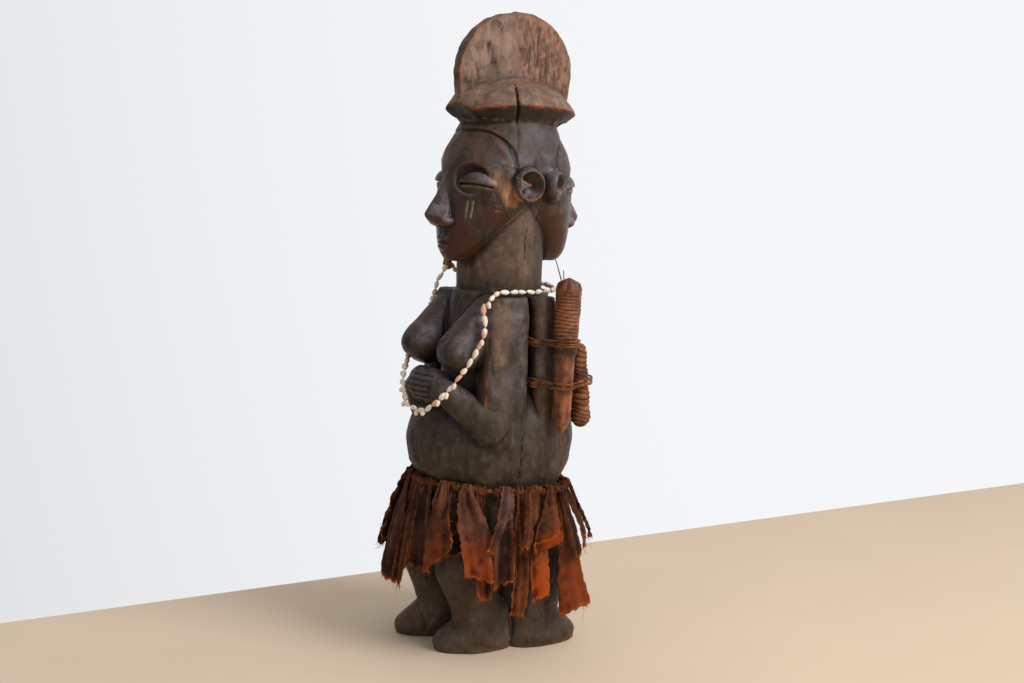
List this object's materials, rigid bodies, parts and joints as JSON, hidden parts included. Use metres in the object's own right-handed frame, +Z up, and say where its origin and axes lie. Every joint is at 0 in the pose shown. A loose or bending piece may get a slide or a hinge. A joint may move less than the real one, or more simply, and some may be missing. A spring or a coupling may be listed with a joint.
{
  "type": "janus power figure",
  "caption": "Carved wooden figure with two bodies back to back under a disc crest, with a shell necklace, a cloth strip skirt and a bundle tied to one arm.",
  "frame": {"origin": "middle of the whole dressed figure on the ground it stands on, under the log's axis", "axes": "+Z up along the log; the front figure looks along -Y and the rear figure along +Y; the bundle is on the +X side"},
  "size_m": [0.2391, 0.2734, 0.76],
  "materials": {
    "dark_wood": "old carved wood with a dark rubbed crust, soft sheen, browner and drier on the crest",
    "shell": "cream and peach sea shell, satin",
    "skirt_cloth": "rust-brown hand-woven cloth, stained, frayed orange edges",
    "fibre_cord": "brown twisted plant fibre",
    "bundle_wood": "reddish wrapped stick, satin",
    "quill": "dark quill, satin"
  },
  "bodies": {
    "root": {"carved_figure": "dark_wood", "shell_necklace": "shell", "waist_cord": "fibre_cord", "skirt_strip_01": "skirt_cloth", "skirt_strip_02": "skirt_cloth", "skirt_strip_03": "skirt_cloth", "skirt_strip_04": "skirt_cloth", "skirt_strip_05": "skirt_cloth", "skirt_strip_06": "skirt_cloth", "skirt_strip_07": "skirt_cloth", "skirt_strip_08": "skirt_cloth", "skirt_strip_09": "skirt_cloth", "skirt_strip_10": "skirt_cloth", "skirt_strip_11": "skirt_cloth", "skirt_strip_12": "skirt_cloth", "skirt_strip_13": "skirt_cloth", "skirt_strip_14": "skirt_cloth", "skirt_strip_15": "skirt_cloth", "skirt_strip_16": "skirt_cloth", "skirt_strip_17": "skirt_cloth", "skirt_strip_18": "skirt_cloth", "skirt_strip_19": "skirt_cloth", "skirt_strip_20": "skirt_cloth", "skirt_strip_21": "skirt_cloth", "skirt_strip_22": "skirt_cloth", "skirt_strip_23": "skirt_cloth", "skirt_strip_24": "skirt_cloth", "skirt_strip_25": "skirt_cloth", "skirt_strip_26": "skirt_cloth", "skirt_strip_27": "skirt_cloth", "skirt_strip_28": "skirt_cloth", "skirt_strip_29": "skirt_cloth", "skirt_strip_30": "skirt_cloth", "skirt_strip_31": "skirt_cloth", "skirt_strip_32": "skirt_cloth", "skirt_strip_33": "skirt_cloth", "skirt_strip_34": "skirt_cloth", "bundle_stick": "bundle_wood", "bundle_packet": "fibre_cord", "upper_binding": "fibre_cord", "lower_binding": "fibre_cord", "quill_long": "quill", "quill_short": "quill"}
  },
  "joints": []
}
